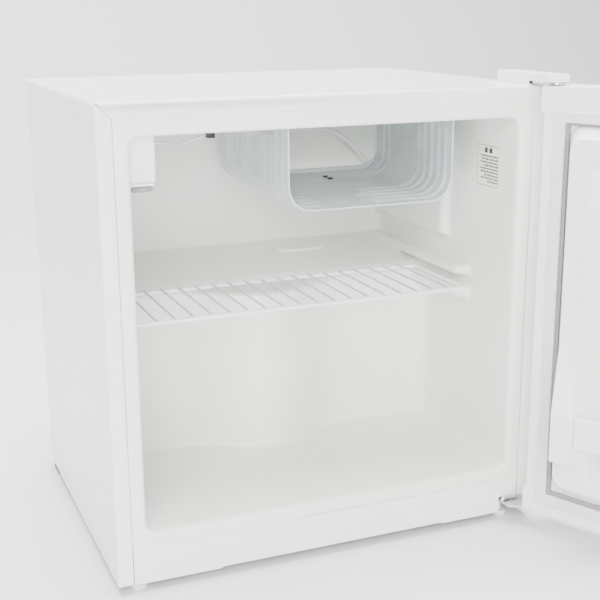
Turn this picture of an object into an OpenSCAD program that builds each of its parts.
// Single-door cube refrigerator, door standing open.
// Millimetres. +Z up, +Y towards the back, X across. The origin is on the floor, at the middle of
// the rear skid's underside. Cabinet modules are written with y = 0 at the front flange plane and
// door modules in the closed position; put_cabinet() and put_door() bring them into the part's frame.

/* [Cabinet] */
// Width over the side panels
cab_w = 470; // [390:5:565]
// Depth from the front flange to the rear panel
cab_d = 354; // [300:2:425]
// Height of the steel cabinet without its feet
cab_h = 469; // [395:1:565]
// Gap between the floor and the cabinet's lower edge
foot_h = 10; // [8:1:14]
// Sheet thickness of all the steel panels
sheet_t = 1; // [0.8:0.1:1.4]
// Width of the painted flange around the front
flange_w = 15.6; // [13:0.2:18]
// Height of the kick plate's upper edge above the cabinet's lower edge
kick_h = 37.6; // [32:0.2:44]

/* [Cold compartment] */
// Insulated wall thickness at the sides
side_wall = 31; // [26:1:38]
// Insulated thickness at the top
top_wall = 32; // [27:1:38]
// Insulated thickness at the back
back_wall = 39; // [30:1:46]
// Compartment floor above the cabinet's lower edge
floor_h = 52; // [46:1:62]
// Thickness of the vacuum-formed liners
liner_t = 1.5; // [1:0.1:2]
// Corner radius of the compartment
cav_r = 9; // [6:1:14]
// How far the compressor step stands out from the back wall
step_d = 115; // [95:1:135]
// Height of the compressor step above the compartment floor
step_h = 191; // [160:1:228]
// Rise of the step's top towards the back
ledge_rise = 20; // [10:1:26]
// How far the rounded compressor bulge stands out from the step
bulge_d = 39; // [30:1:46]
// Half width of the compressor bulge
bulge_hw = 108; // [90:1:125]

/* [Shelf] */
// Length of the shelf from front to back
shelf_d = 121; // [100:1:145]
// Radius of the shelf's frame wire
shelf_rod_r = 2.2; // [1.8:0.1:2.6]
// Radius of the cross wires
shelf_wire_r = 1.1; // [0.9:0.1:1.5]
// Spacing of the cross wires
shelf_pitch = 19.7; // [16:0.1:24]
// How far the moulded shelf rails stand out from the walls
rail_d = 16; // [12:1:19]

/* [Door] */
// Door thickness without the gasket
door_t = 48; // [40:1:58]
// Gap between the door's inner face and the front flange, filled by the gasket
door_gap = 7; // [6:0.5:9]
// Angle by which the door stands open at rest
door_open = 115; // [90:1:120]
// Radius of the hinge pins
pin_r = 2.5; // [2:0.1:3]
// Radial running clearance of pins in their bushes
pin_clear = 0.05; // [0.03:0.01:0.09]
// Depth by which the rack's end blocks reach into the compartment
rack_d = 55; // [45:1:60]
// Depth of the liner's border ridge above it
ridge_d = 12; // [9:1:13]

/* [Freezing box] */
// Width of the evaporator at its front
evap_w = 191; // [165:1:205]
// Length of the evaporator from front to back
evap_l = 214; // [180:1:216]
// Height of the evaporator
evap_h = 94; // [80:1:108]
// Thickness of the roll-bond sheet
evap_t = 1.6; // [1.2:0.1:2]

/* [Cooling unit] */
// Radius of the compressor's shell
comp_r = 62; // [52:1:66]
// Height of the compressor's shell
comp_h = 148; // [125:1:160]
// Radius of the condenser's tube
cond_r = 2.4; // [2:0.1:3]
// Spacing of the condenser's runs
cond_pitch = 24; // [20:1:28]
// Distance of the condenser from the rear panel
cond_off = 30; // [22:1:36]

/* [Hidden] */
$fn = 40;
eps = 0.01;
far = 400;

// rear skid and the part's origin
skid_w = 28;                       // width of the skid's flat underside
skid_h = 16;                       // height of the skid
skid_inset = 4;                    // skid's rear edge in front of the cabinet's rear
front_y = -(cab_d - skid_inset - skid_w / 2);

// cabinet
hw = cab_w / 2;                    // half width
in_hw = hw - sheet_t;              // half width inside the sheet
cab_bot = foot_h;
cab_top = foot_h + cab_h;
bend_r = 5;                        // bend radius along the top's edges
lip_d = 12;                        // returned edge around the rear opening
seam_gap = 0.5;                    // open mitre in the flange's corners
kick_top = cab_bot + kick_h;
seam_x = hw - flange_w;            // where the liner's flange begins
seam_z = cab_top - flange_w + 0.4;

// compartment
cav_hw = hw - side_wall;
cav_top = cab_top - top_wall;
cav_bot = cab_bot + floor_h;
cav_y = cab_d - back_wall;
step_y = cav_y - step_d;
step_z = cav_bot + step_h;
ledge_z = step_z + ledge_rise;
nose_r = 9;                        // rounded front edge of the step
corner_r = 22;                     // upright corners between the step and the side walls
bulge_top = step_z - 7;
bulge_x = -8;                      // the bulge's middle, beside the cabinet's centre
wall_block = 10;                   // thickness of the raised field on the right wall
wall_block_y = 140;
wall_block_z = ledge_z + 26;

// shelf and its rails
shelf_gap = 0.3;                   // clearance under and behind the shelf
rail_top = step_z - 4;
rail_low = rail_top - 15;
rail_up = rail_top + 12;
rail_up_top = rail_up + 12;
rail_taper = 14;
shelf_z = rail_top + shelf_gap + shelf_rod_r;
shelf_back = step_y - shelf_gap - shelf_rod_r - 1;
shelf_front = shelf_back - shelf_d;
rail_front = shelf_front + 10;
shelf_hw = cav_hw - 13;
shelf_bend = 9;

// compressor compartment
well_wall = 32;                    // insulation between the step and the compartment
well_y = step_y + well_wall;
well_z = step_z - well_wall;
well_slope = 16;
pocket_x0 = bulge_x - 76;
pocket_x1 = bulge_x + 76;
pocket_y = step_y - bulge_d + well_wall + 2;
pocket_z = well_z - 14;

// hinge corner at the lower right: an open pocket in the bottom pan
corner_x = cav_hw - 7;
corner_y = 42;
corner_h = 17;

// pivot of the door, in the closed door's frame
pivot_x = hw - 4.5;
pivot_y = -(door_gap + 21);
bush_wall = 1.5;
bush_r = pin_r + pin_clear + bush_wall;

// door
door_face = -(door_gap + door_t);
door_in = -door_gap;
door_bot = cab_bot + 16;
door_top = cab_top + 1.5;
cap_h = 11;
door_r = 6;                        // radius of the door's front edges
skirt_t = 4;                       // hinge-side thickening of the end caps
skirt_h = 26;
gasket_out = hw - 15.5;
gasket_w = 11.5;
gasket_z0 = cab_bot + 31;
gasket_z1 = cab_top - 21;
gasket_clear = 0.4;
magnet_w = 6;
magnet_t = 2;
ridge_hw = cav_hw - 5;             // ridge's foot, inside the opening
ridge_z0 = cav_bot + 4;
ridge_z1 = cav_top - 5;
ridge_w = 22;                      // crest width of the ridge
block_z0 = cav_bot + 56;           // the rack's end blocks
block_z1 = cav_bot + 106;
pocket_floor = -(door_gap + 5);    // bottom of the pocket in the door liner
pocket_low = ridge_hw - 24 - ridge_w;  // its half widths between and above the end blocks
pocket_high = ridge_hw - 17;
pocket_r = 26;
guard_z0 = block_z0 + 19;
guard_z1 = block_z1;
guard_t = 4;
grip_h = 130;                      // recessed grip on the handle side
grip_z = cab_bot + 265;
grip_d = 15;
grip_w = 24;
grip_t = 1.5;

// evaporator
evap_x0 = -22;                     // left wall at the front
evap_y0 = 75;
evap_r = 26;
evap_lip = 14;
evap_splay = 16;                   // the right wall runs outwards towards the back
evap_sag = 5;                      // the floor rises towards the back
evap_y1 = evap_y0 + evap_l;
evap_z0 = cav_top - evap_h;

// thermostat
stat_x1 = -cav_hw + 27;
stat_y0 = 15;
stat_y1 = 95;
stat_z0 = cav_top - 47;
stat_wall = 1.6;
dial_x = -cav_hw + 14.2;
dial_y = stat_y0 + 16;
dial_r = 12.5;
dial_h = 5.2;
dial_gap = 0.8;
dial_shaft_r = 3;

// refrigerant circuit
comp_x = bulge_x;
comp_y = pocket_y + comp_r + 11;
tray_z = foot_h + 6;
tray_t = 2;
grommet_h = 12;
comp_foot_z = tray_z + tray_t + grommet_h;
comp_foot_t = 3;
comp_z = comp_foot_z + comp_foot_t;
bolt_dx = 66;
bolt_dy = cab_d - skid_inset - skid_w - 8 - comp_y;
bolt_r = 3;
cond_y = cab_d + cond_off;
cond_hw = hw - 32;
cond_runs = floor((cab_top - 26 - (well_z + well_slope + 18)) / cond_pitch) + 1;
cond_top = cab_top - 26;
cond_bot = cond_top - (cond_runs - 1) * cond_pitch;
cond_wire_r = 0.8;
cond_wire_pitch = 16;
tube_r = 3;
drier_x = 150;
drier_y = cab_d - 34;
drier_z = 120;

// levelling feet
foot_r = 8;
foot_stem_r = 3;
foot_disc_h = 6;
foot_left = [-hw + 22.5, 12];
foot_right = [corner_x + 8.5, 14];
foot_clear = 0.05;

// hinge hardware
plate_t = 2.5;
low_plate_z = door_bot - 1.6 - plate_t;
top_arm_z = door_top + 1;
cover_top = cab_top + 12.5;
cover_t = 1.8;
screw_r = 2;

// ---------- helpers ----------
module put_cabinet() translate([0, front_y, 0]) children();
module put_door() put_cabinet() translate([pivot_x, pivot_y, 0]) rotate([0, 0, door_open])
    translate([-pivot_x, -pivot_y, 0]) children();
module along_y(y0, y1) translate([0, y1, 0]) rotate([90, 0, 0]) linear_extrude(y1 - y0) children();
module along_x(x0, x1) translate([x0, 0, 0]) rotate([90, 0, 90]) linear_extrude(x1 - x0) children();
module along_z(z0, z1) translate([0, 0, z0]) linear_extrude(z1 - z0) children();
module block(lo, hi) translate(lo) cube(hi - lo);
module disc(p, r, h) translate(p) cylinder(r = r, h = h);

// flat rectangle between two corners with round corners of radius r
module round_rect(lo, hi, r) {
    translate([lo[0] + r, lo[1]]) square([hi[0] - lo[0] - 2 * r, hi[1] - lo[1]]);
    translate([lo[0], lo[1] + r]) square([hi[0] - lo[0], hi[1] - lo[1] - 2 * r]);
    for (x = [lo[0] + r, hi[0] - r], y = [lo[1] + r, hi[1] - r]) translate([x, y]) circle(r);
}

// flat rectangle with round corners only along its upper edge
module round_top(lo, hi, r) {
    translate(lo) square([hi[0] - lo[0], hi[1] - lo[1] - r]);
    translate([lo[0] + r, lo[1]]) square([hi[0] - lo[0] - 2 * r, hi[1] - lo[1]]);
    for (x = [lo[0] + r, hi[0] - r]) translate([x, hi[1] - r]) circle(r);
}

// straight round bar from a to b
module rod(a, b, r) {
    d = b - a;
    translate(a) rotate([0, acos(d[2] / norm(d)), atan2(d[1], d[0])]) cylinder(r = r, h = norm(d));
}

// bar along a list of points, with a ball at each bend
module pipe(points, r) {
    for (i = [0 : len(points) - 2]) rod(points[i], points[i + 1], r);
    for (i = [1 : 1 : len(points) - 2]) translate(points[i]) sphere(r * 1.12);
}

// bent tube swept with flat sides along a list of points
module fine_tube(points, r, sides = 8) {
    n = len(points);
    turn = 360 / sides;
    function ahead(i) = points[min(i + 1, n - 1)] - points[max(i - 1, 0)];
    rings = [for (i = [0 : n - 1]) let (t = ahead(i) / norm(ahead(i)), u = cross(t, [0, 0.02, 1]),
        v = u / norm(u), w = cross(v, t)) for (k = [0 : sides - 1])
        points[i] + r * (cos(turn * k) * v + sin(turn * k) * w)];
    polyhedron(points = rings, faces = concat([[for (k = [sides - 1 : -1 : 0]) k]],
        [for (i = [0 : n - 2], k = [0 : sides - 1]) [sides * i + k, sides * i + (k + 1) % sides,
            sides * (i + 1) + (k + 1) % sides, sides * (i + 1) + k]],
        [[for (k = [0 : sides - 1]) sides * (n - 1) + k]]));
}

// smooth curve through a list of points, in n steps between each pair
function curve(p, n) = [for (i = [0 : len(p) - 2], k = [0 : (i == len(p) - 2 ? n : n - 1)])
    let (t = k / n, a = p[max(i - 1, 0)], b = p[i], c = p[i + 1], d = p[min(i + 2, len(p) - 1)])
    0.5 * (2 * b + (c - a) * t + (2 * a - 5 * b + 4 * c - d) * t * t
        + (3 * b - a - 3 * c + d) * t * t * t)];

// machine screw standing on z = 0: a domed head, and a shank below it
module screw(head_r, head_h, length) {
    cylinder(r1 = head_r, r2 = head_r * 0.7, h = head_h);
    translate([0, 0, -length]) cylinder(r = screw_r, h = length);
}

// ---------- cabinet panels ----------
module shell_section(g) round_top([-hw + g, cab_bot - (g > 0 ? 1 : 0)], [hw - g, cab_top - g], bend_r - g);

module front_window() translate([-seam_x, cab_bot - 1]) square([2 * seam_x, seam_z - cab_bot + 1]);

module flange_mitre(side) translate([side * seam_x, 0, seam_z]) rotate([0, side * 45, 0])
    block([-seam_gap / 2, -1, -1], [seam_gap / 2, sheet_t + 1, flange_w * 1.35]);

module outer_shell() color("white") put_cabinet() {
    difference() {
        along_y(0, cab_d) shell_section(0);
        along_y(sheet_t, cab_d - sheet_t) shell_section(sheet_t);
        along_y(-1, cab_d + 1) front_window();
        along_y(cab_d / 2, cab_d + 1) translate([-hw + lip_d, 0])
            square([cab_w - 2 * lip_d, cab_top - lip_d]);
        for (side = [-1, 1]) flange_mitre(side);
    }
}

module rear_panel() color("gainsboro") put_cabinet()
    block([-in_hw, cab_d - 2 * sheet_t, well_z + well_slope + sheet_t],
        [in_hw, cab_d - sheet_t, cab_top - bend_r - sheet_t]);

// the compressor compartment, grown towards the insulation by g
module well_form(g) {
    along_x(-in_hw, in_hw) polygon([[well_y - g, 0], [well_y - g, well_z + g],
        [cab_d - sheet_t, well_z + well_slope + g], [cab_d - sheet_t, 0]]);
    block([pocket_x0 - g, pocket_y - g, 0], [pocket_x1 + g, well_y + g, pocket_z + g]);
}

module compressor_well() color("silver") put_cabinet() intersection() {
    difference() {
        well_form(sheet_t);
        well_form(0);
        translate([drier_x - 60, well_y, tray_z + 150]) rotate([90, 0, 0])
            cylinder(r = tube_r + 1, h = 30, center = true);
    }
    block([-far, -far, cab_bot], [far, far, 2 * far]);
}

module bottom_pan() color("lightgray") put_cabinet() difference() {
    union() {
        block([-in_hw, sheet_t + liner_t, cab_bot], [in_hw, well_y - sheet_t, cab_bot + sheet_t]);
        block([corner_x - sheet_t, sheet_t + liner_t, cab_bot],
            [in_hw, corner_y + sheet_t, cab_bot + corner_h + sheet_t]);
    }
    block([corner_x, -1, 0], [in_hw - sheet_t, corner_y, cab_bot + corner_h]);
    block([pocket_x0 - sheet_t, pocket_y - sheet_t, 0], [pocket_x1 + sheet_t, far, far]);
    disc([foot_left[0], foot_left[1], 0], foot_stem_r + foot_clear, far / 10);
}

// folded plinth across the front, below the compartment
module kick_plate() color("white") put_cabinet() difference() {
    union() {
        block([-seam_x + 0.3, 0, cab_bot - 1], [seam_x - 0.3, sheet_t, kick_top]);
        block([-seam_x + 0.3, 0, kick_top - sheet_t], [seam_x - 0.3, sheet_t + liner_t, kick_top]);
    }
    block([corner_x, -1, 0], [hw, far, cab_bot + corner_h]);
    block([-hw * 0.55, -1, 0], [hw * 0.52, far, cab_bot - 0.2]);
}

// ---------- compartment ----------
function bulge_line(g) = [for (i = [-12 : 12]) let (t = i / 12)
    [bulge_x + t * bulge_hw, step_y - bulge_d * (1 + cos(180 * t)) / 2 + g]];

// the step over the compressor, drawn back from the compartment by g
module step_form(g) {
    along_x(-far, far) polygon([[step_y + g, 0], [step_y + g, step_z - nose_r],
        [step_y + g + nose_r, step_z - g + 1.5], [cav_y + far / 10, ledge_z + 6 - g],
        [cav_y + far / 10, 0]]);
    along_x(-far, far) translate([step_y + nose_r + g, step_z - nose_r - g * 0.4]) circle(nose_r);
    for (m = [0, 1]) mirror([m, 0, 0]) along_z(0, step_z - nose_r - g) difference() {
        translate([cav_hw - corner_r, step_y - corner_r]) square(corner_r + g + 1);
        translate([cav_hw - corner_r, step_y - corner_r]) circle(corner_r + g);
    }
    along_z(0, bulge_top - g) polygon(concat(bulge_line(g), [[bulge_x + bulge_hw, cav_y],
        [bulge_x - bulge_hw, cav_y]]));
}

module shelf_rail(z0, z1, g) along_z(z0 + g, z1 - g) polygon([[cav_hw + 1, rail_front + g],
    [cav_hw - rail_d + g, rail_front + rail_taper + g], [cav_hw - rail_d + g, cav_y + 1],
    [cav_hw + 1, cav_y + 1]]);

module shelf_rails(g) for (m = [0, 1]) mirror([m, 0, 0]) {
    shelf_rail(rail_low, rail_top, g);
    shelf_rail(rail_up, rail_up_top, g);
}

// the open space of the compartment, grown towards the insulation by g
module cavity(g) difference() {
    along_y(g > 0 ? 0 : -1, cav_y + g)
        round_rect([-cav_hw - g, cav_bot - g], [cav_hw + g, cav_top + g], cav_r + g);
    step_form(g);
    shelf_rails(g);
    block([cav_hw - wall_block + g, wall_block_y + g, wall_block_z + g], [far, far, far + 200]);
}

module inner_liner() color("ivory") put_cabinet() difference() {
    union() {
        cavity(liner_t);
        block([-seam_x, 0, kick_top], [seam_x, liner_t, seam_z]);
    }
    cavity(0);
}

module cabinet_foam() color("khaki") put_cabinet() difference() {
    along_y(sheet_t + liner_t, cab_d - 2 * sheet_t)
        round_top([-in_hw, cab_bot + sheet_t], [in_hw, cab_top - sheet_t], bend_r - sheet_t);
    cavity(liner_t);
    well_form(sheet_t);
    block([corner_x - sheet_t, 0, 0], [far, corner_y + sheet_t, cab_bot + corner_h + sheet_t]);
    disc([foot_left[0], foot_left[1], 0], foot_stem_r + 1, cab_bot + 18);
}

// ---------- base ----------
module rear_skid() color("dimgray") put_cabinet()
    along_x(-in_hw + 1, in_hw - 1) translate([cab_d - skid_inset - skid_w, 0]) difference() {
        square([skid_w, skid_h]);
        translate([1.5, 1.5]) square([skid_w - 3, skid_h]);
    }

module compressor_tray() color("dimgray") put_cabinet() difference() {
    union() {
        block([-in_hw, well_y + 2, tray_z], [in_hw, cab_d - skid_inset, tray_z + tray_t]);
        block([pocket_x0 + 1, pocket_y + 1, tray_z], [pocket_x1 - 1, well_y + 3, tray_z + tray_t]);
    }
    at_bolts() cylinder(r = bolt_r + 0.3, h = 20, center = true);
}

module levelling_foot(at, top) translate([at[0], at[1], 0]) {
    cylinder(r1 = foot_r - 1, r2 = foot_r, h = 1.5);
    translate([0, 0, 1.5]) cylinder(r = foot_r, h = foot_disc_h - 1.5);
    translate([0, 0, foot_disc_h]) cylinder(r = foot_stem_r, h = top - foot_disc_h);
}

module front_foot_left() color("white") put_cabinet() levelling_foot(foot_left, cab_bot + 15);
module front_foot_right() color("white") put_cabinet()
    levelling_foot(foot_right, low_plate_z + plate_t + 1);

// ---------- evaporator, thermostat and shelf ----------
// one wall line of the box: left lip, left wall, floor and right wall with lip, in x and z
function arc_points(cx, cz, r, a0, a1, n) = [for (i = [0 : n]) let (a = a0 + (a1 - a0) * i / n)
    [cx + r * cos(a), cz + r * sin(a)]];
function box_line(x0, x1, z0, z1, r, lip) = concat([[x0 + lip, z1], [x0, z1]],
    arc_points(x0 + r, z0 + r, r, 180, 270, 8), arc_points(x1 - r, z0 + r, r, 270, 360, 8),
    [[x1, z1], [x1 - lip, z1]]);
function at_y(line, y) = [for (p = line) [p[0], y, p[1]]];

module folded_sheet(outer0, inner0, outer1, inner1) {
    n = len(outer0);
    polyhedron(points = concat(outer0, inner0, outer1, inner1), faces = concat(
        [for (i = [0 : n - 2]) [i, i + 1, n + i + 1, n + i]],
        [for (i = [0 : n - 2]) [2 * n + i + 1, 2 * n + i, 3 * n + i, 3 * n + i + 1]],
        [for (i = [0 : n - 2]) [i + 1, i, 2 * n + i, 2 * n + i + 1]],
        [for (i = [0 : n - 2]) [n + i, n + i + 1, 3 * n + i + 1, 3 * n + i]],
        [[0, n, 3 * n, 2 * n], [2 * n - 1, n - 1, 3 * n - 1, 4 * n - 1]]));
}

function evap_line(g, splay, rise) = box_line(evap_x0 + g, evap_x0 + evap_w + splay - g,
    evap_z0 + rise + g, cav_top - g, evap_r - g, evap_lip);

module evaporator() color("lightsteelblue") put_cabinet() folded_sheet(
    at_y(evap_line(0, 0, 0), evap_y0), at_y(evap_line(evap_t, 0, 0), evap_y0),
    at_y(evap_line(0, evap_splay, evap_sag), evap_y1),
    at_y(evap_line(evap_t, evap_splay, evap_sag), evap_y1));

module evaporator_screws() color("gray") put_cabinet()
    for (x = [evap_x0 + evap_lip / 2 + 1, evap_x0 + evap_w - evap_lip / 2 + 1],
        y = [evap_y0 + 22, evap_y1 - 24])
        translate([x, y, cav_top - evap_t]) mirror([0, 0, 1]) cylinder(r1 = 4, r2 = 3, h = 2.4);

// white sleeve over the suction line, a loop beside the box's rear end
module suction_sleeve() color("white") put_cabinet() {
    y = evap_y1 + 7;
    fine_tube(curve([[58, cav_y - 0.2, cav_top - 42], [59, cav_y - 7, cav_top - 41], [70, y + 2.5, cav_top - 37],
        [84, y, cav_top - 36], [108, y, cav_top - 36], [124, y, cav_top - 40], [141, y, cav_top - 49],
        [156, y, cav_top - 62], [169, y, cav_top - 78], [176, y, cav_top - 88]], 4), tube_r, 12);
}

module thermostat_housing() color("ivory") put_cabinet() difference() {
    intersection() {
        along_x(-cav_hw, stat_x1) round_rect([stat_y0, stat_z0], [stat_y1, cav_top], 4);
        along_y(0, cav_y) round_rect([-cav_hw, cav_bot], [cav_hw, cav_top], cav_r);
    }
    intersection() {
        block([-cav_hw + stat_wall, stat_y0 + stat_wall, stat_z0 + stat_wall],
            [stat_x1 - stat_wall, stat_y1 - stat_wall, cav_top - stat_wall]);
        along_y(0, cav_y) round_rect([-cav_hw + stat_wall, cav_bot],
            [cav_hw, cav_top - stat_wall], cav_r - stat_wall);
    }
    disc([dial_x, dial_y, stat_z0 - 1], dial_shaft_r + 0.5, 5);
    translate([stat_x1, stat_y0 + 30, cav_top - 10]) rotate([0, 90, 0])
        cylinder(r = 2, h = 10, center = true);
}

module thermostat_body() color("silver") put_cabinet() difference() {
    block([-cav_hw + 3.5, dial_y - 12, stat_z0 + 12], [stat_x1 - 3, dial_y + 30, cav_top - 6]);
    disc([dial_x, dial_y, stat_z0], dial_shaft_r + 0.05, 20);
}

module control_dial() color("gray") put_cabinet() translate([dial_x, dial_y, 0]) {
    difference() {
        disc([0, 0, stat_z0 - dial_gap - dial_h], dial_r, dial_h);
        for (a = [0 : 15 : 345]) rotate([0, 0, a]) translate([dial_r + 0.4, 0, 0])
            disc([0, 0, stat_z0 - dial_gap - dial_h - 1], 0.9, dial_h + 2);
    }
    disc([0, 0, stat_z0 - dial_gap - eps], dial_shaft_r, 15);
}

stat_y = stat_y0 + 30;
clip_x = stat_x1 + 62;
sense_route = [[stat_x1 - 2.9, stat_y, cav_top - 10], [stat_x1 + 12, stat_y, cav_top - 11.5],
    [stat_x1 + 34, stat_y, cav_top - 13], [clip_x, stat_y, cav_top - 5.5],
    [clip_x + 30, stat_y + 14, cav_top - 6], [evap_x0 - 12, stat_y + 48, cav_top - 14],
    [evap_x0 - 4, stat_y + 80, cav_top - 18], [evap_x0 - 4, stat_y + 120, cav_top - 18]];

module sensing_tube() color("silver") put_cabinet() fine_tube(curve(sense_route, 6), 1.1);

module tube_clip() color("black") put_cabinet() difference() {
    block([clip_x - 3.5, stat_y - 5, cav_top - 9], [clip_x + 3.5, stat_y + 5, cav_top]);
    fine_tube(curve(sense_route, 6), 1.5);
}

module caution_label() color("white") put_cabinet()
    block([cav_hw - 0.4, 35, cav_top - 81], [cav_hw, 82, cav_top - 33]);

module wire_shelf() color("white") put_cabinet() {
    x = shelf_hw;
    b = shelf_bend;
    for (y = [shelf_front, shelf_back]) rod([-x + b, y, shelf_z], [x - b, y, shelf_z], shelf_rod_r);
    for (s = [-1, 1]) rod([s * x, shelf_front + b, shelf_z], [s * x, shelf_back - b, shelf_z], shelf_rod_r);
    for (s = [[x - b, shelf_back - b, 0], [-x + b, shelf_back - b, 90], [-x + b, shelf_front + b, 180],
        [x - b, shelf_front + b, 270]]) translate([s[0], s[1], shelf_z]) rotate([0, 0, s[2]])
        rotate_extrude(angle = 90) translate([b, 0]) circle(shelf_rod_r);
    count = floor((x - b) / shelf_pitch);
    for (i = [-count : count - 1]) translate([(i + 0.5) * shelf_pitch, 0, shelf_z + shelf_rod_r + shelf_wire_r * 0.5])
        rod([0, shelf_front - shelf_rod_r, 0], [0, shelf_back + shelf_rod_r, 0], shelf_wire_r);
}

// ---------- cooling unit ----------
module at_bolts() for (dx = [-bolt_dx, bolt_dx], dy = [-bolt_dy, bolt_dy])
    translate([comp_x + dx, comp_y + dy, tray_z]) children();

module compressor_form() translate([comp_x, comp_y, comp_z]) {
    rotate_extrude() polygon(concat([[0, 0], [comp_r * 0.62, 0]],
        arc_points(comp_r - 24, 24, 24, -90, 0, 6), [[comp_r, comp_h * 0.52 - 4],
        [comp_r + 3, comp_h * 0.52 - 4], [comp_r + 3, comp_h * 0.52 + 2], [comp_r, comp_h * 0.52 + 2]],
        arc_points(comp_r - 42, comp_h - 42, 42, 0, 90, 8), [[0, comp_h]]));
}
module compressor() color([0.08, 0.08, 0.08]) put_cabinet() compressor_form();

module compressor_feet() color([0.1, 0.1, 0.1]) put_cabinet() difference() {
    block([comp_x - bolt_dx - 9, comp_y - bolt_dy - 9, comp_foot_z],
        [comp_x + bolt_dx + 9, comp_y + bolt_dy + 9, comp_foot_z + comp_foot_t]);
    at_bolts() cylinder(r = bolt_r + 3, h = 40);
}

module compressor_grommets() color([0.15, 0.15, 0.15]) put_cabinet() at_bolts()
    translate([0, 0, tray_t]) difference() {
        union() {
            cylinder(r = 9, h = grommet_h);
            cylinder(r = bolt_r + 3, h = grommet_h + comp_foot_t + 1);
        }
        translate([0, 0, -1]) cylinder(r = bolt_r + 0.2, h = 40);
    }

module compressor_bolts() color("silver") put_cabinet() at_bolts() {
    translate([0, 0, -3]) cylinder(r = 6, h = 3);
    translate([0, 0, -eps]) cylinder(r = bolt_r, h = tray_t + grommet_h + comp_foot_t + 6);
    translate([0, 0, tray_t + grommet_h + comp_foot_t + 1]) cylinder(r = 7, h = 1.5);
    translate([0, 0, tray_t + grommet_h + comp_foot_t + 2.5]) cylinder(r = 5, h = 4, $fn = 6);
}

module relay_cover() color([0.12, 0.12, 0.12]) put_cabinet() difference() {
    block([comp_x - comp_r - 34, comp_y - 24, comp_z + 42], [comp_x - comp_r + 10, comp_y + 24, comp_z + 104]);
    disc([comp_x, comp_y, 0], comp_r + 3.3, far);
}

module process_stub() color("peru") put_cabinet() difference() {
    pipe([[comp_x + comp_r - 12, comp_y + 20, comp_z + 40], [comp_x + comp_r + 14, comp_y + 26, comp_z + 40],
        [comp_x + comp_r + 30, comp_y + 32, comp_z + 60]], tube_r);
    compressor_form();
}

// hot line from the compressor up to the condenser's lowest run
module discharge_tube() color("peru") put_cabinet() difference() {
    x = cond_hw - 12;
    fine_tube(curve([[comp_x + comp_r - 8, comp_y - 10, comp_z + 60],
        [comp_x + comp_r + 18, comp_y - 10, comp_z + 60], [comp_x + comp_r + 36, comp_y + 16, comp_z + 76],
        [comp_x + comp_r + 66, comp_y + 44, comp_z + 100], [x - 22, cond_y - 14, comp_z + 124],
        [x - 3, cond_y - 2, cond_bot - 30], [x, cond_y, cond_bot - 14],
        [x, cond_y, cond_bot - cond_r - eps]], 4), cond_r, 10);
    compressor_form();
}

// cold line back from the compartment to the compressor
module suction_tube() color("peru") put_cabinet() difference() {
    y = comp_y + comp_r;
    fine_tube(curve([[comp_x - 18, y - 8, comp_z + 56], [comp_x - 18, y + 6, comp_z + 56],
        [comp_x - 34, y + 12, comp_z + 84], [comp_x - 66, y + 4, comp_z + 108],
        [comp_x - 96, y - 28, comp_z + 118], [comp_x - 99, well_y + 14, comp_z + 118],
        [comp_x - 99, well_y + 0.3, comp_z + 118]], 4), tube_r, 10);
    compressor_form();
}

module filter_drier() color("peru") put_cabinet() translate([drier_x, drier_y, drier_z])
    rotate([0, -14, 0]) rotate_extrude() polygon([[0, -46], [cond_r, -46], [cond_r, -38], [8, -30],
        [8, 30], [2.2, 38], [2.2, 44], [0, 44]]);

module capillary_tube() color("peru") put_cabinet() {
    up = [-sin(14), 0, cos(14)];
    top = [drier_x, drier_y, drier_z] + 44 * up;
    fine_tube(curve([top, top + 8 * up, top + [-10, -12, 24], top + [-30, -40, 27],
        [top[0] - 44, well_y + 12, top[2] + 24], [top[0] - 44, well_y + eps, top[2] + 24]], 4), 1.2);
}

module condenser_tube() color("black") put_cabinet() {
    run_hw = cond_hw - cond_pitch / 2;
    for (i = [0 : cond_runs - 1]) rod([-run_hw, cond_y, cond_top - i * cond_pitch],
        [run_hw, cond_y, cond_top - i * cond_pitch], cond_r);
    for (i = [0 : cond_runs - 2]) translate([(i % 2 == 0 ? 1 : -1) * run_hw, cond_y,
        cond_top - (i + 0.5) * cond_pitch]) rotate([90, 0, 0]) rotate([0, 0, i % 2 == 0 ? -90 : 90])
        rotate_extrude(angle = 180) translate([cond_pitch / 2, 0]) circle(cond_r);
}

module condenser_wires() color("black") put_cabinet() {
    count = floor((cond_hw - cond_pitch / 2 - 6) / cond_wire_pitch);
    for (i = [-count : count], s = [-1, 1])
        rod([i * cond_wire_pitch, cond_y + s * (cond_r + cond_wire_r), cond_bot - 8],
            [i * cond_wire_pitch, cond_y + s * (cond_r + cond_wire_r), cond_top + 8], cond_wire_r);
}

module at_brackets() for (x = [-cond_hw + 22, cond_hw - 22], z = [cond_bot + cond_pitch / 2, cond_top - cond_pitch / 2])
    translate([x, cab_d - sheet_t, z]) children();

module condenser_brackets() color("dimgray") put_cabinet() at_brackets() difference() {
    union() {
        block([-8, 0, -10], [8, 1.5, 10]);
        block([-8, 0, -1], [8, cond_off - cond_r - 2 * cond_wire_r + sheet_t - 0.2, 1]);
        block([-8, cond_off - cond_r - 2 * cond_wire_r + sheet_t - 1.7, -10],
            [8, cond_off - cond_r - 2 * cond_wire_r + sheet_t - 0.2, 10]);
    }
    translate([0, 0, 6]) rotate([-90, 0, 0]) cylinder(r = screw_r, h = 8, center = true);
}

module condenser_screws() color("silver") put_cabinet() at_brackets()
    translate([0, 1.5, 6]) rotate([-90, 0, 0]) screw(3.6, 2.2, 1.5);

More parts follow.
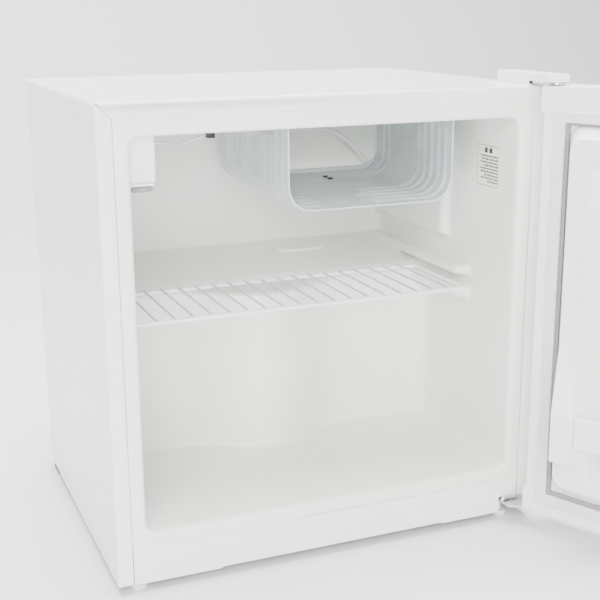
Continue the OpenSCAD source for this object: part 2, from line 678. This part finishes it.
module mains_gland() color([0.1, 0.1, 0.1]) put_cabinet() difference() {
    union() {
        translate([-170, cab_d - sheet_t, tray_z + 44]) rotate([-90, 0, 0]) cylinder(r = 9, h = 3);
        translate([-170, cab_d + 2 - eps, tray_z + 44]) rotate([-90, 0, 0]) cylinder(r1 = 7, r2 = 5.5, h = 12);
        block([-186, cab_d - 2.2, tray_z + tray_t], [-154, cab_d - sheet_t, tray_z + 60]);
    }
    translate([-170, cab_d - 6, tray_z + 44]) rotate([-90, 0, 0]) cylinder(r = 3.6, h = 40);
}

// ---------- hinges ----------
module top_hinge_bracket() color("silver") put_cabinet() difference() {
    union() {
        block([hw - 19, 4, cab_top], [hw - 1, 58, cab_top + plate_t]);
        block([hw - 19, 1, cab_top], [hw - 1, 4 + eps, top_arm_z + plate_t]);
        block([hw - 19, pivot_y, top_arm_z], [hw - 1, 1 + eps, top_arm_z + plate_t]);
        disc([hw - 10, pivot_y + 1, top_arm_z], 9, plate_t);
    }
    disc([pivot_x, pivot_y, top_arm_z - 1], pin_r, plate_t + 2);
    for (y = [20, 46]) disc([hw - 10, y, cab_top - 1], screw_r, plate_t + 2);
}

module top_hinge_pin() color("silver") put_cabinet() {
    disc([pivot_x, pivot_y, door_top - 9], pin_r, top_arm_z + plate_t - door_top + 9);
    disc([pivot_x, pivot_y, top_arm_z + plate_t - eps], pin_r + 0.8, 1);
}

module top_hinge_screws() color("silver") put_cabinet()
    for (y = [20, 46]) translate([hw - 10, y, cab_top + plate_t]) screw(4, 2.4, plate_t);

// snap-on cap over the upper hinge
module cover_form(g) {
    along_z(cab_top + (g > 0 ? -1 : 0), cover_top - g)
        round_rect([hw - 23 + g, 2 + g], [hw + 1.5 - g, 62 - g], 3 - g);
    along_z(top_arm_z + (g > 0 ? -1 : plate_t + 0.1), cover_top - g)
        round_rect([hw - 23 + g, pivot_y - 8.5 + g], [hw + 1.5 - g, 20 - g], 3 - g);
}
module top_hinge_cover() color("white") put_cabinet() difference() {
    cover_form(0);
    cover_form(cover_t);
    block([hw - 19.4, 0, cab_top - 1], [hw - 0.6, 8, top_arm_z]);
}

module bottom_hinge_bracket() color("silver") put_cabinet() {
    z0 = low_plate_z;
    difference() {
        union() {
            along_z(z0, z0 + plate_t) polygon([[corner_x + 1, corner_y - 4], [seam_x - 0.6, corner_y - 4],
                [seam_x - 0.6, -0.4], [hw + 0.5, -0.4], [hw + 0.5, pivot_y], [pivot_x - 6, pivot_y - 5],
                [corner_x + 1, -17]]);
            disc([pivot_x, pivot_y, z0], 6.5, plate_t);
            block([corner_x + 1, corner_y - 4 - plate_t, cab_bot - 0.5], [seam_x - 0.6, corner_y - 4, z0 + eps]);
        }
        disc([pivot_x, pivot_y, z0 - 1], pin_r, plate_t + 2);
        disc([foot_right[0], foot_right[1], z0 - 1], foot_stem_r + foot_clear, plate_t + 2);
        for (x = [corner_x + 5, seam_x - 5]) translate([x, corner_y - 4, z0 - 5]) rotate([90, 0, 0])
            cylinder(r = screw_r, h = 9, center = true);
    }
}

module bottom_hinge_pin() color("silver") put_cabinet() {
    disc([pivot_x, pivot_y, low_plate_z], pin_r, plate_t + 11);
    disc([pivot_x, pivot_y, low_plate_z - 1], pin_r + 0.8, 1 + eps);
}

module bottom_hinge_screws() color("silver") put_cabinet()
    for (x = [corner_x + 5, seam_x - 5]) translate([x, corner_y - 4 - plate_t, low_plate_z - 5])
        rotate([90, 0, 0]) screw(3.5, 2, plate_t);

// ---------- door, drawn closed ----------
module door_section(g) round_rect([-hw + g, door_face + g], [hw - g, door_in + door_r * 3], door_r - g);

module grip_hollow(g) block([-hw - 5, door_face + (door_t - grip_w) / 2 - g, grip_z - g],
    [-hw + grip_d + g, door_face + (door_t + grip_w) / 2 + g, grip_z + grip_h + g]);

module door_skin() color("white") put_door() difference() {
    along_z(door_bot + cap_h, door_top - cap_h) intersection() {
        door_section(0);
        translate([-hw, door_face]) square([cab_w, door_t]);
    }
    along_z(door_bot, door_top) intersection() {
        door_section(sheet_t);
        translate([-hw, door_face]) square([cab_w, door_t - sheet_t]);
    }
    block([-gasket_out, door_in - 5, 0], [gasket_out, 1, far + 200]);
    grip_hollow(grip_t);
}

module door_top_cap() color("white") put_door() {
    difference() {
        union() {
            along_z(door_top - cap_h, door_top) intersection() {
                door_section(0);
                translate([-hw, door_face]) square([cab_w, door_t]);
            }
            block([hw + 0.02, pivot_y - 12, door_top - skirt_h], [hw + skirt_t, door_in - 0.5, door_top]);
            block([hw - 1, pivot_y - 12, door_top - cap_h], [hw + 1, pivot_y + 16, door_top]);
        }
        disc([pivot_x, pivot_y, door_top - cap_h + 1], bush_r, cap_h);
    }
}

module door_bottom_cap() color("white") put_door() {
    difference() {
        union() {
            along_z(door_bot, door_bot + cap_h) intersection() {
                door_section(0);
                translate([-hw, door_face]) square([cab_w, door_t]);
            }
            block([hw + 0.02, pivot_y - 12, door_bot], [hw + skirt_t, door_in - 0.5, door_bot + skirt_h]);
            block([hw - 1, pivot_y - 12, door_bot], [hw + 1, pivot_y + 16, door_bot + cap_h]);
        }
        disc([pivot_x, pivot_y, door_bot - 1], bush_r, cap_h);
    }
}

module bush_top() color("beige") put_door() difference() {
    disc([pivot_x, pivot_y, door_top - cap_h + 1], bush_r, cap_h - 1);
    disc([pivot_x, pivot_y, door_top - cap_h + 1 + 0.6], pin_r + pin_clear, cap_h);
}

module bush_bottom() color("beige") put_door() difference() {
    union() {
        disc([pivot_x, pivot_y, door_bot], bush_r, cap_h - 1);
        disc([pivot_x, pivot_y, door_bot - 1.2], bush_r + 2, 1.2);
    }
    disc([pivot_x, pivot_y, door_bot - 2], pin_r + pin_clear, cap_h + 0.4);
}

// the border ridge with the rack's end blocks: its envelope, sunk into the door by g
module ridge_form(g) intersection() {
    along_z(0, far + 200) polygon([[-ridge_hw - 6, door_in - 8], [-ridge_hw - 6, door_in - g],
        [-ridge_hw, -g], [-ridge_hw + 24, rack_d - g], [ridge_hw - 24, rack_d - g], [ridge_hw, -g],
        [ridge_hw + 6, door_in - g], [ridge_hw + 6, door_in - 8]]);
    along_x(-far, far) polygon([[door_in - 8, ridge_z0 - 8], [door_in - g, ridge_z0 - 8],
        [-g, ridge_z0], [ridge_d - g, ridge_z0 + 6], [ridge_d - g, block_z0 - 6], [rack_d - g, block_z0],
        [rack_d - g, block_z1], [ridge_d - g, block_z1 + 58], [ridge_d - g, ridge_z1 - 8],
        [-g, ridge_z1], [door_in - g, ridge_z1 + 3], [door_in - 8, ridge_z1 + 3]]);
}

// the hollow between the ridges, drawn in by g: narrow between the end blocks, wide above them
module pocket_form(g) along_y(pocket_floor - g, rack_d + 1) {
    offset(r = pocket_r + g) offset(delta = -pocket_r) polygon([
        [-pocket_low, block_z0], [-pocket_low, block_z1], [-pocket_high, block_z1 + 58],
        [-pocket_high, ridge_z1 - ridge_w - 2], [pocket_high, ridge_z1 - ridge_w - 2],
        [pocket_high, block_z1 + 58], [pocket_low, block_z1], [pocket_low, block_z0]]);
    round_rect([-pocket_low - g, ridge_z0 + ridge_w - 6 - g], [pocket_low + g, block_z1 + 30], 10 + g);
}

module liner_solid(g) difference() {
    union() {
        ridge_form(g);
        block([-gasket_out, door_in - 8, door_bot + cap_h], [gasket_out, door_in - g, door_top - cap_h]);
    }
    pocket_form(g);
}

module door_liner() color("ivory") put_door() difference() {
    liner_solid(0);
    liner_solid(liner_t);
    block([-far, -far, 0], [far, door_in - liner_t - 0.02 - 8, far + 200]);
}

module door_foam() color("khaki") put_door() difference() {
    union() {
        along_z(door_bot + cap_h, door_top - cap_h) intersection() {
            door_section(sheet_t);
            translate([-hw, door_face]) square([cab_w, door_t - sheet_t - 0.5]);
        }
        liner_solid(liner_t);
    }
    difference() {
        block([-gasket_out, door_in - liner_t, 0], [gasket_out, far, far + 200]);
        liner_solid(liner_t);
    }
    pocket_form(liner_t);
    grip_hollow(grip_t);
}

module ring(out, z0, z1, w, y0, y1) along_y(y0, y1) difference() {
    translate([-out, z0]) square([2 * out, z1 - z0]);
    translate([-out + w, z0 + w]) square([2 * (out - w), z1 - z0 - 2 * w]);
}

module door_gasket() color("gainsboro") put_door() difference() {
    ring(gasket_out, gasket_z0, gasket_z1, gasket_w, door_in, -gasket_clear);
    magnet_bars();
}

module magnet_bars() {
    inset = (gasket_w - magnet_w) / 2;
    y0 = -gasket_clear - 0.8 - magnet_t;
    for (s = [0, 1]) mirror([s, 0, 0]) block([gasket_out - inset - magnet_w, y0, gasket_z0 + gasket_w + 3],
        [gasket_out - inset, y0 + magnet_t, gasket_z1 - gasket_w - 3]);
    for (z = [gasket_z0 + inset, gasket_z1 - inset - magnet_w])
        block([-gasket_out + gasket_w + 3, y0, z], [gasket_out - gasket_w - 3, y0 + magnet_t, z + magnet_w]);
}
module gasket_magnets() color([0.2, 0.2, 0.2]) put_door() magnet_bars();

// bar that keeps bottles in the door, with two moulded ribs
module door_rack_guard() color("ivory") put_door() {
    x = pocket_low - 0.6;
    y = rack_d - 9;
    block([-x, y, guard_z0], [x, y + guard_t - 1.4, guard_z1]);
    for (z = [guard_z0, (guard_z0 + guard_z1) / 2 - 1, guard_z1 - 5])
        block([-x, y, z], [x, y + guard_t, z + (z > guard_z1 - 6 ? 5 : 3)]);
}

module grip_insert() color("white") put_door() difference() {
    intersection() {
        grip_hollow(grip_t);
        block([-hw, -far, 0], [far, far, far + 200]);
    }
    grip_hollow(0);
}

outer_shell();
rear_panel();
compressor_well();
bottom_pan();
kick_plate();
inner_liner();
cabinet_foam();
rear_skid();
compressor_tray();
front_foot_left();
front_foot_right();
evaporator();
evaporator_screws();
suction_sleeve();
thermostat_housing();
thermostat_body();
sensing_tube();
tube_clip();
control_dial();
caution_label();
wire_shelf();
compressor();
compressor_feet();
compressor_grommets();
compressor_bolts();
relay_cover();
process_stub();
discharge_tube();
suction_tube();
filter_drier();
capillary_tube();
condenser_tube();
condenser_wires();
condenser_brackets();
condenser_screws();
mains_gland();
top_hinge_bracket();
top_hinge_pin();
top_hinge_screws();
top_hinge_cover();
bottom_hinge_bracket();
bottom_hinge_pin();
bottom_hinge_screws();
door_skin();
door_top_cap();
door_bottom_cap();
door_liner();
door_foam();
door_gasket();
gasket_magnets();
door_rack_guard();
grip_insert();
bush_top();
bush_bottom();
